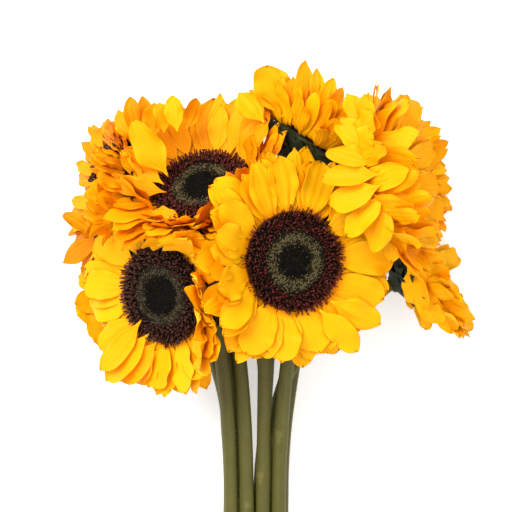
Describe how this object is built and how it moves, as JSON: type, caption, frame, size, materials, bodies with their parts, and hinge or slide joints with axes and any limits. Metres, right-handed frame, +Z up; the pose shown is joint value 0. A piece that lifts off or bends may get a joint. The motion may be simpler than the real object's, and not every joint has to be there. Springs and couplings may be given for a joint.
{
  "type": "bunch of cut sunflowers",
  "caption": "Loose bunch of cut sunflowers lying down, with stripped green stems, dark seed discs and bright yellow rays that crowd and fold against each other",
  "frame": {"origin": "middle of the bunch's footprint, on the flat surface that it lies on", "axes": "+Z up, away from the surface. +Y along the bunch, from the cut ends of the stems to the blooms. +X to the right, seen from above with the blooms at the far end"},
  "size_m": [0.2618, 0.465, 0.166],
  "materials": {
    "stem": "green, faintly ridged and hairy skin of a plant stem",
    "calyx": "dark green, hairy bracts",
    "seed_disc": "brown-black florets with an olive ring",
    "rays": "soft, slightly satin yellow petals"
  },
  "bodies": {
    "root": {"disc_front": "seed_disc", "rays_front": "rays", "calyx_front": "calyx", "stem_front": "stem", "disc_left": "seed_disc", "rays_left": "rays", "calyx_left": "calyx", "stem_left": "stem", "disc_upper_left": "seed_disc", "rays_upper_left": "rays", "calyx_upper_left": "calyx", "stem_upper_left": "stem", "disc_right": "seed_disc", "rays_right": "rays", "calyx_right": "calyx", "stem_right": "stem", "disc_top": "seed_disc", "rays_top": "rays", "calyx_top": "calyx", "stem_top": "stem", "disc_low_right": "seed_disc", "rays_low_right": "rays", "calyx_low_right": "calyx", "stem_low_right": "stem", "disc_far_left": "seed_disc", "rays_far_left": "rays", "calyx_far_left": "calyx", "stem_far_left": "stem", "disc_upper_right": "seed_disc", "rays_upper_right": "rays", "calyx_upper_right": "calyx", "stem_upper_right": "stem", "disc_low_left": "seed_disc", "rays_low_left": "rays", "calyx_low_left": "calyx", "stem_low_left": "stem"}
  },
  "joints": []
}
